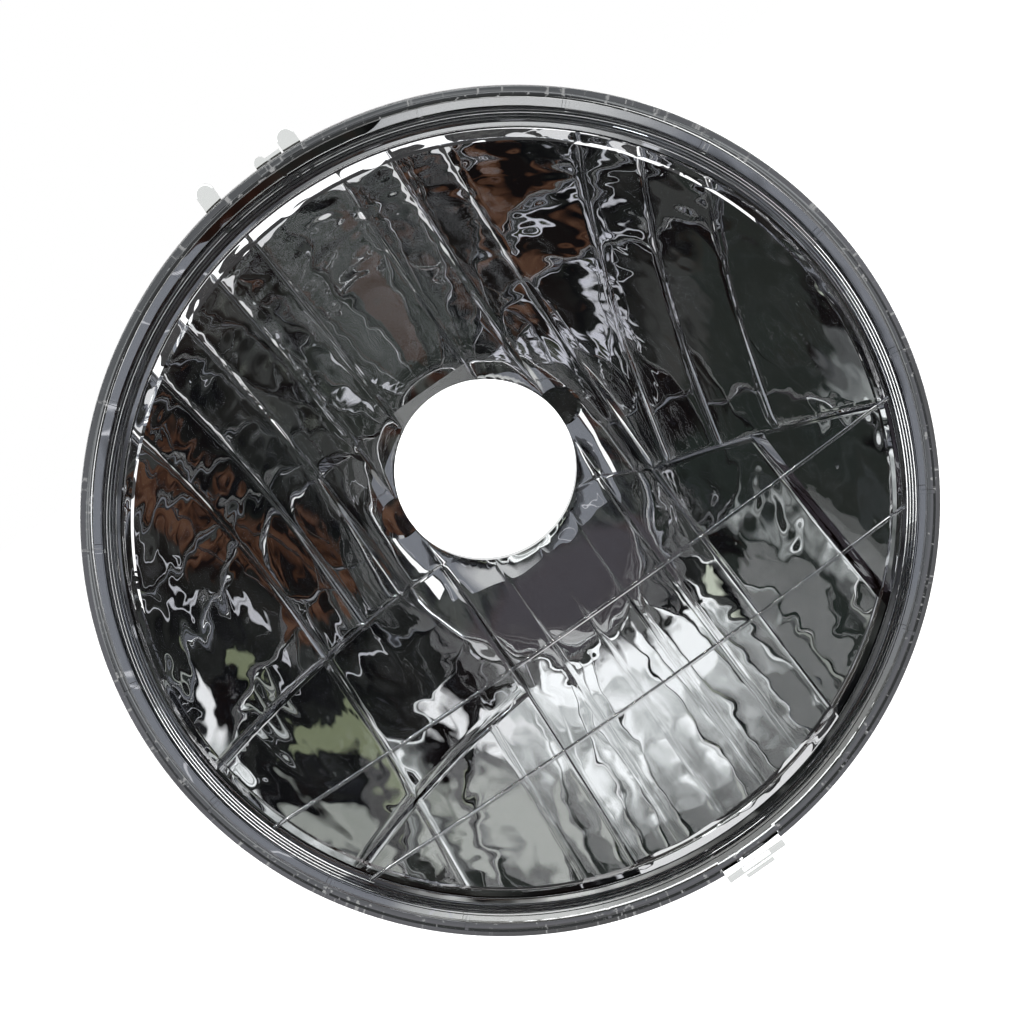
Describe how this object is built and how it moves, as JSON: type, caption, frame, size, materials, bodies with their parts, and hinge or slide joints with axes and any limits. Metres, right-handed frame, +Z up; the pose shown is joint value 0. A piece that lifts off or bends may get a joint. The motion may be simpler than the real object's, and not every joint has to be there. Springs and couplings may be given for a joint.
{
  "type": "headlight unit",
  "caption": "Round motorbike headlight unit: a domed clear lens bonded to a deep reflector with upright fluted facets and an open bulb hole in a rear collar.",
  "frame": {"origin": "centre of the bulb opening at the bowl's floor", "axes": "-Y is the way the lamp shines, +Y runs out through the back of the bulb opening, +Z is up and +X is to the right seen from the front"},
  "size_m": [0.16, 0.08, 0.1672],
  "materials": {
    "clear_lens": "clear, gloss",
    "bright_metallising": "mirror bright",
    "sealant": "satin"
  },
  "bodies": {
    "root": {"lens": "clear_lens", "reflector": "bright_metallising", "sealant": "sealant"}
  },
  "joints": []
}
